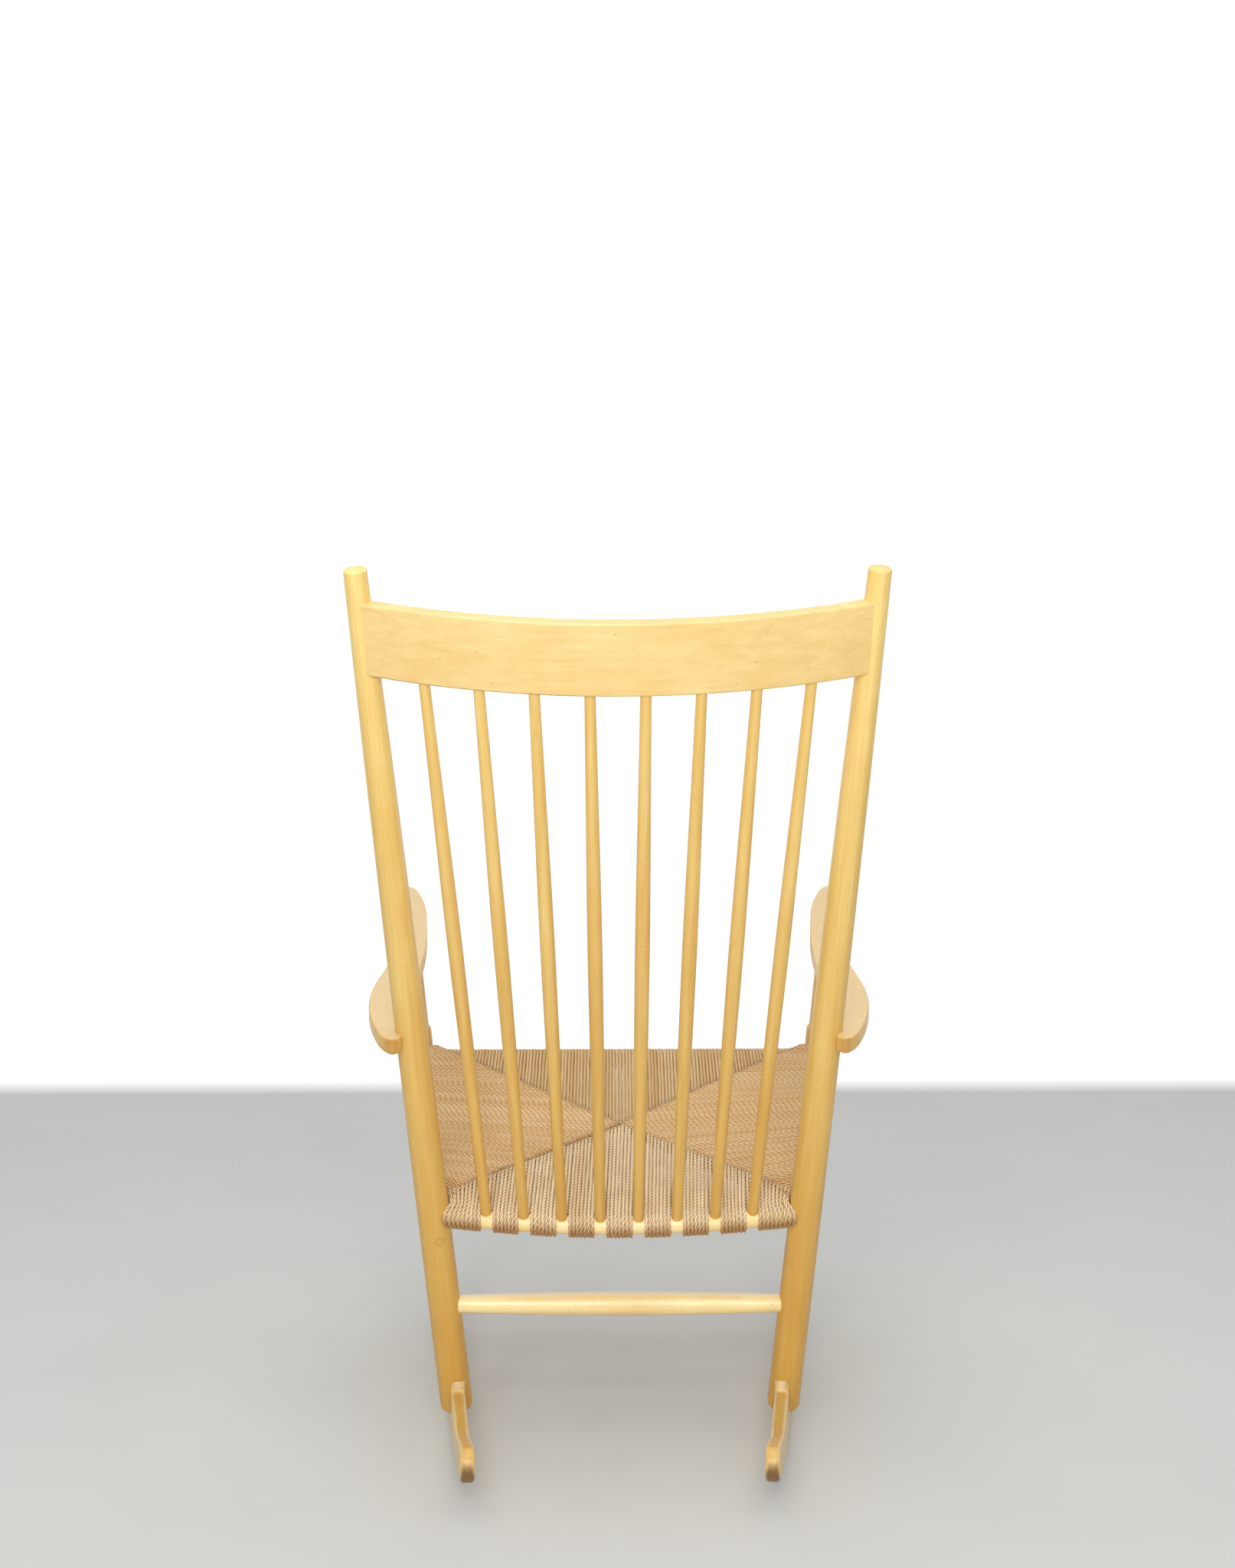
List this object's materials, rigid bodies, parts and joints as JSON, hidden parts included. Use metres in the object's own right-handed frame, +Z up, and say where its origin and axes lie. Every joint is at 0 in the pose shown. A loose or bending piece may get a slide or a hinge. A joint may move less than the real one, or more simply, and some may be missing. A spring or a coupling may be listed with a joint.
{
  "type": "rocking chair",
  "caption": "Spindle-back rocking chair in turned blond wood, with a bowed crest rail, flat shaped arms, a woven paper cord seat and curved rockers let into its feet.",
  "frame": {"origin": "on the floor, at the middle of the chair's footprint", "axes": "+Z up, the chair faces -Y, +X is the sitter's left"},
  "size_m": [0.6258, 0.9817, 1.0768],
  "materials": {
    "beech": "clear satin lacquer, yellowed",
    "paper_cord": "unbleached twisted paper cord, slightly glossy",
    "steel_screw": "plain steel, hidden under the plugs"
  },
  "bodies": {
    "root": {"back_post_left": "beech", "back_post_right": "beech", "front_leg_left": "beech", "front_leg_right": "beech", "crest_rail": "beech", "crest_pins": "beech", "rear_seat_rail": "beech", "front_seat_rail": "beech", "side_seat_rail_left": "beech", "side_seat_rail_right": "beech", "rear_stretcher": "beech", "front_stretcher": "beech", "side_stretcher_left": "beech", "side_stretcher_right": "beech", "armrest_left": "beech", "armrest_right": "beech", "arm_plugs": "beech", "rocker_left": "beech", "rocker_right": "beech", "rocker_pins": "beech", "spindle_1": "beech", "spindle_2": "beech", "spindle_3": "beech", "spindle_4": "beech", "spindle_5": "beech", "spindle_6": "beech", "spindle_7": "beech", "spindle_8": "beech", "weave_front": "paper_cord", "weave_left": "paper_cord", "weave_rear": "paper_cord", "weave_right": "paper_cord", "arm_screws": "steel_screw"}
  },
  "joints": []
}
